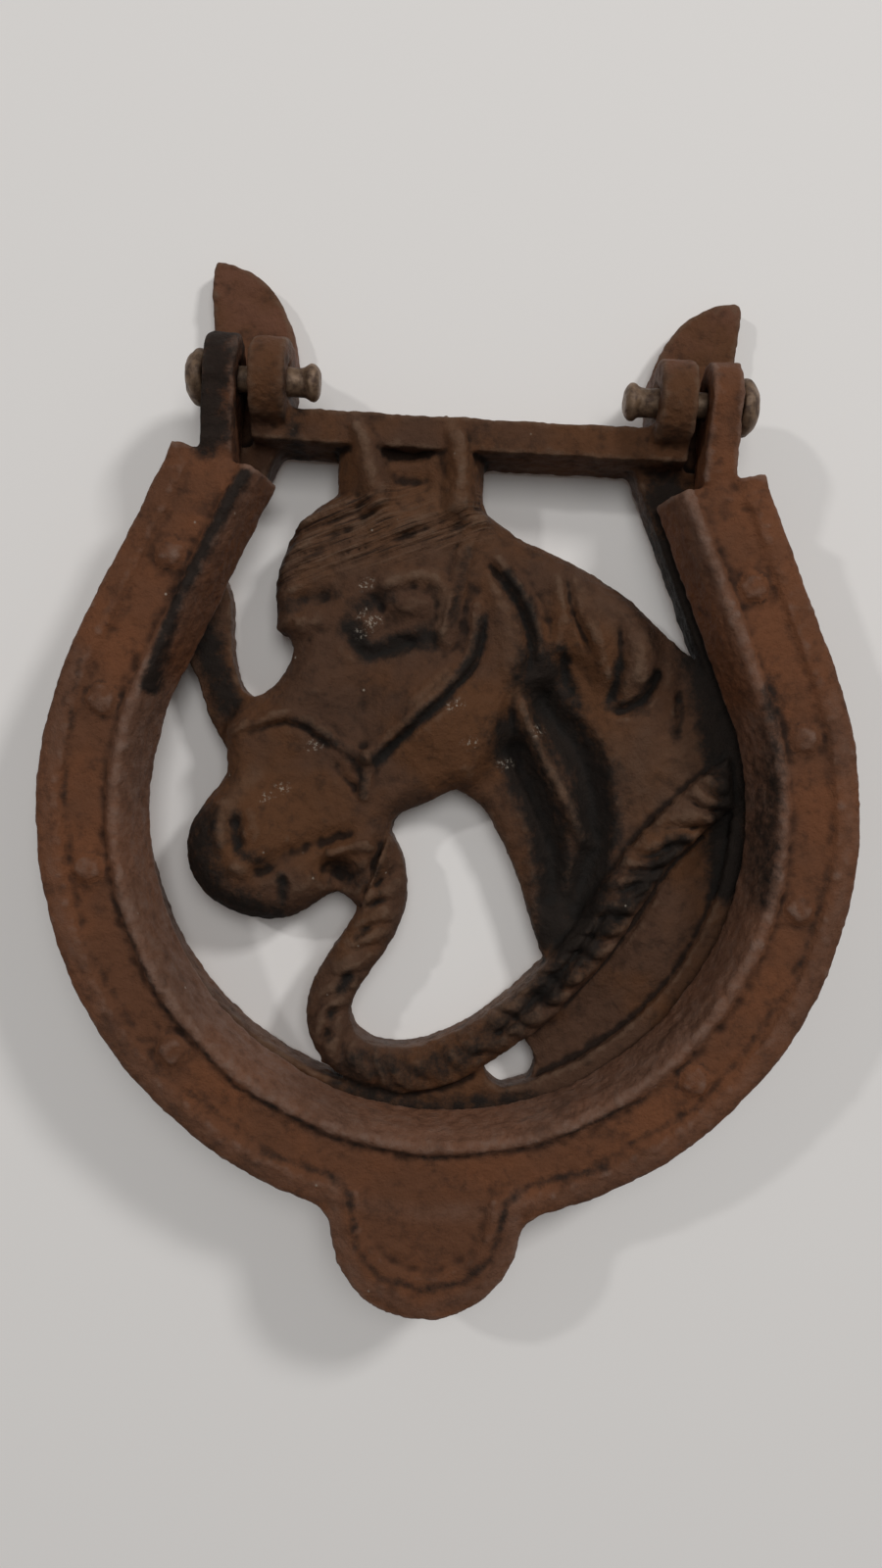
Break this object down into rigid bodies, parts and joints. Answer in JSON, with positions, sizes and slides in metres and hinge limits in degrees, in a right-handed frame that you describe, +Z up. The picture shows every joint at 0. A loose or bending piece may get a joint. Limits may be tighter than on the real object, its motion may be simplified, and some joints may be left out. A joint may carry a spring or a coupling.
{
  "type": "door knocker",
  "caption": "Cast-iron door knocker: a horseshoe striker hinged on two rivets in front of an openwork backplate with a horse's head in relief and a rope rein.",
  "frame": {"origin": "centre of the horseshoe's round part, on the back face that lies on the door", "axes": "+Z up as hung on the door, +Y into the door, +X to the right of a person facing the door"},
  "size_m": [0.1416, 0.0215, 0.1856],
  "materials": {
    "backplate_iron": "rough sand-cast iron with a brown rust patina",
    "striker_iron": "rough sand-cast iron with a brown rust patina, worn grey on its crests",
    "rivet_steel": "dull tarnished rivet with light rust"
  },
  "bodies": {
    "backplate": {"backplate_rim": "backplate_iron", "crossbar": "backplate_iron", "wing_left": "backplate_iron", "wing_right": "backplate_iron", "hinge_lug_left": "backplate_iron", "hinge_lug_right": "backplate_iron", "horse_head": "backplate_iron", "ears": "backplate_iron", "forelock": "backplate_iron", "bridle": "backplate_iron", "horse_neck": "backplate_iron", "mane": "backplate_iron", "chest_panel": "backplate_iron", "rein_rope": "backplate_iron", "nose_bridge": "backplate_iron", "bolt_bosses": "backplate_iron", "hinge_pin_left": "rivet_steel", "hinge_pin_right": "rivet_steel"},
    "striker": {"striker_shoe": "striker_iron", "striker_tab": "striker_iron", "striker_lug_left": "striker_iron", "striker_lug_right": "striker_iron", "nail_heads": "striker_iron", "strike_button": "striker_iron"}
  },
  "joints": [
    {"name": "striker_swing", "type": "hinge", "parent": "backplate", "child": "striker", "pos_m": [0, -0.014, 0.0735], "axis": [-1, 0, 0], "range_deg": [0, 180]}
  ]
}
